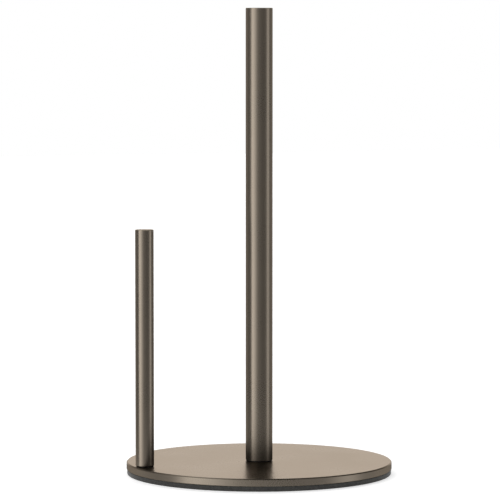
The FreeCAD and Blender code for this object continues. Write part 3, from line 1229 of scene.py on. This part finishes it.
@dataclass
class Studio:
    """The plain floor, the soft light and the camera. Its angles are in degrees."""

    azimuth: float = -20.8  # of the camera, round the holder
    pitch: float = 4.05  # of the camera, below level
    distance: float = 2.1643
    aim_height: float = 0.15167
    aim_left: float = 0.00618
    lens: float = 230.4
    sensor: float = 36.0
    ambient: float = 0.15
    zenith: float = 0.035
    dusk: tuple[float, float] = (12.0, 50.0)  # elevations where ambient ends and zenith starts
    echo: float = 0.12  # share of the light that is left after echo_from reflections
    echo_from: float = 2.5
    sun_strength: float = 1.95
    sun_spread: float = 60.0
    sun_turn: float = -172.0  # from the camera's own direction, to the right
    sun_rise: float = 45.0
    floor_half: float = 5.0
    floor_drop: float = 0.05 * MM
    panels: tuple[SoftBox, ...] = PANELS

    def build(self) -> None:
        """Makes the floor, the world, the overhead light and the camera."""
        self._camera()
        self._floor()
        self._world()
        self._overhead()
        bpy.context.scene.view_settings.view_transform = "Standard"

    def _toward(self, azimuth: float, elevation: float) -> Vector:
        """The direction to a light or a camera, from its azimuth and elevation in degrees."""
        turn, rise = math.radians(azimuth), math.radians(elevation)
        return Vector(
            (math.sin(turn) * math.cos(rise), -math.cos(turn) * math.cos(rise), math.sin(rise))
        )

    def _stand(self, name: str, data: Any, place: Vector, back: Vector) -> Piece:
        """Sets up a light or a camera.

        Args:
            name: Its name.
            data: Its data.
            place: Where it stands.
            back: The direction that it faces away from.

        Returns:
            The new object.
        """
        made = bpy.data.objects.new(name, data)
        made.rotation_mode = "QUATERNION"
        made.location = place
        made.rotation_quaternion = (-back).to_track_quat("-Z", "Y")
        bpy.context.scene.collection.objects.link(made)
        return made

    def _camera(self) -> None:
        """A long lens, nearly level with the post's head."""
        back = self._toward(self.azimuth, self.pitch)
        left = self._toward(self.azimuth - 90, 0.0)
        aim = left * self.aim_left + Vector((0.0, 0.0, self.aim_height))
        data = bpy.data.cameras.new("camera")
        data.lens = self.lens
        data.sensor_width = self.sensor
        camera = self._stand("camera", data, aim + back * self.distance, back)
        bpy.context.scene.camera = camera

    def _overhead(self) -> None:
        """A broad soft light from above and behind, for whatever is matt."""
        data = bpy.data.lights.new("overhead", "SUN")
        data.energy = self.sun_strength
        data.angle = math.radians(self.sun_spread)
        back = self._toward(self.azimuth + self.sun_turn, self.sun_rise)
        lamp = self._stand("overhead", data, Vector(), back)
        lamp.visible_glossy = False

    def _sheet(self, name: str, half: float, drop: float, finish: Finish) -> Piece:
        """A flat square under the pad.

        Args:
            name: Its name.
            half: Half of its side.
            drop: How far below the pad it lies.
            finish: Its finish.

        Returns:
            The square, marked as part of the stage.
        """
        mesh = bpy.data.meshes.new(name)
        corners = [(-half, -half), (half, -half), (half, half), (-half, half)]
        mesh.from_pydata([(x, y, -drop) for x, y in corners], [], [(0, 1, 2, 3)])
        mesh.materials.append(finish.material())
        sheet = bpy.data.objects.new(name, mesh)
        bpy.context.scene.collection.objects.link(sheet)
        return sheet

    def _floor(self) -> None:
        """A wide pale floor that the metal doesn't mirror, and the soft glow that it does."""
        lit = PaleFloor("lit opal acrylic", Slot.FILM)
        floor = self._sheet("floor", self.floor_half, self.floor_drop, lit)
        floor.visible_glossy = False
        sheen = FloorSheen("light of the opal acrylic", Slot.FILM)
        glow = self._sheet("floor_sheen", sheen.far, self.floor_drop / 2, sheen)
        glow.visible_camera = False
        glow.visible_diffuse = False
        glow.visible_shadow = False

    def _window(self, net: Net, value: Feed, marks: tuple[float, ...]) -> Feed:
        """1 between the middle two marks, easing to 0 at the outer two.

        Args:
            net: The world's tree.
            value: The angle.
            marks: Where the window starts, is full, fades and ends.

        Returns:
            The window's value.
        """
        eased = "SMOOTHSTEP"
        rise = net.add("ShaderNodeMapRange", [value, *marks[:2]], interpolation_type=eased)
        inputs = [value, *marks[2:], 1.0, 0.0]
        fall = net.add("ShaderNodeMapRange", inputs, interpolation_type=eased)
        return net.add("ShaderNodeMath", [rise, fall], operation="MULTIPLY")

    def _angles(self, net: Net) -> tuple[Feed, Feed]:
        """The azimuth from the camera's direction and the elevation, both in degrees."""
        heading = net.add("ShaderNodeTexCoord").outputs["Generated"]
        inputs = {"Vector": heading, "Rotation": (0.0, 0.0, -math.radians(self.azimuth))}
        turned = net.add("ShaderNodeMapping", inputs)
        part = net.add("ShaderNodeSeparateXYZ", [turned]).outputs
        toward = net.add("ShaderNodeMath", [part[1], -1.0], operation="MULTIPLY")
        azimuth = net.add("ShaderNodeMath", [part[0], toward], operation="ARCTAN2")
        elevation = net.add("ShaderNodeMath", [part[2]], operation="ARCSINE")
        return tuple(
            net.add("ShaderNodeMath", [angle], operation="DEGREES")
            for angle in (azimuth, elevation)
        )

    def _world(self) -> None:
        """Soft panels round the holder, and plain white where the camera looks past it."""
        world = bpy.data.worlds.new("studio")
        world.use_nodes = True
        net = Net(world.node_tree)
        net.tree.nodes.clear()
        azimuth, elevation = self._angles(net)
        either = net.add("ShaderNodeMath", [azimuth], operation="ABSOLUTE")
        inputs = [elevation, *self.dusk, self.ambient, self.zenith]
        light = net.add("ShaderNodeMapRange", inputs, interpolation_type="SMOOTHSTEP")
        for panel in self.panels:
            around = self._window(net, either if panel.both_sides else azimuth, panel.azimuth)
            above = self._window(net, elevation, panel.elevation)
            shape = net.add("ShaderNodeMath", [around, above], operation="MULTIPLY")
            inputs = [shape, panel.strength, light]
            light = net.add("ShaderNodeMath", inputs, operation="MULTIPLY_ADD")
        path = net.add("ShaderNodeLightPath").outputs
        inputs = [path["Ray Depth"], self.echo_from]
        again = net.add("ShaderNodeMath", inputs, operation="GREATER_THAN")
        dimmed = net.add("ShaderNodeMapRange", [again, 0.0, 1.0, 1.0, self.echo])
        strength = net.add("ShaderNodeMath", [light, dimmed], operation="MULTIPLY")
        lit = net.add("ShaderNodeBackground", {"Color": linear(WHITE), "Strength": strength})
        bare = net.add("ShaderNodeBackground", {"Color": linear(WHITE), "Strength": 1.0})
        seen = net.add("ShaderNodeMixShader", [path["Is Camera Ray"], lit, bare])
        net.add("ShaderNodeOutputWorld", {"Surface": seen})
        world.cycles.sampling_method = "NONE"
        bpy.context.scene.world = world


def main() -> None:
    """Builds the base, the two uprights and the studio."""
    logging.basicConfig(level=logging.INFO, format="%(name)s: %(message)s")
    lathe = Lathe()
    coat = BronzeCoat("bronze coat on blasted steel", Slot.BRONZE)
    foam = FoamRubber("closed-cell foam rubber", Slot.FOAM)
    film = AdhesiveFilm("acrylic adhesive film", Slot.FILM)
    nylon = NylonRingAndFootShade("black nylon with painted foot shade", Slot.NYLON)
    zinc = MachinedSteel("zinc-plated turned steel", Slot.ZINC)
    black = MachinedSteel(
        "black-oxide steel", Slot.BLACK, tone="2B2B2D", deep="1D1D1F", bare="6E6E70", roughness=0.38
    )
    Base(lathe, coat, foam, film).build()
    metals = (lathe, coat, nylon, zinc, black)
    large = ScrewSize(M6, 3.0 * MM, 2.0 * MM, 2.4 * MM)
    small = ScrewSize(M5, 2.5 * MM, 1.5 * MM, 2.0 * MM)
    Post(Upright.POST, *metals, large).build()
    Post(Upright.ARM, *metals, small, hole=2.75 * MM).build()
    Studio().build()


if __name__ == "__main__":
    main()
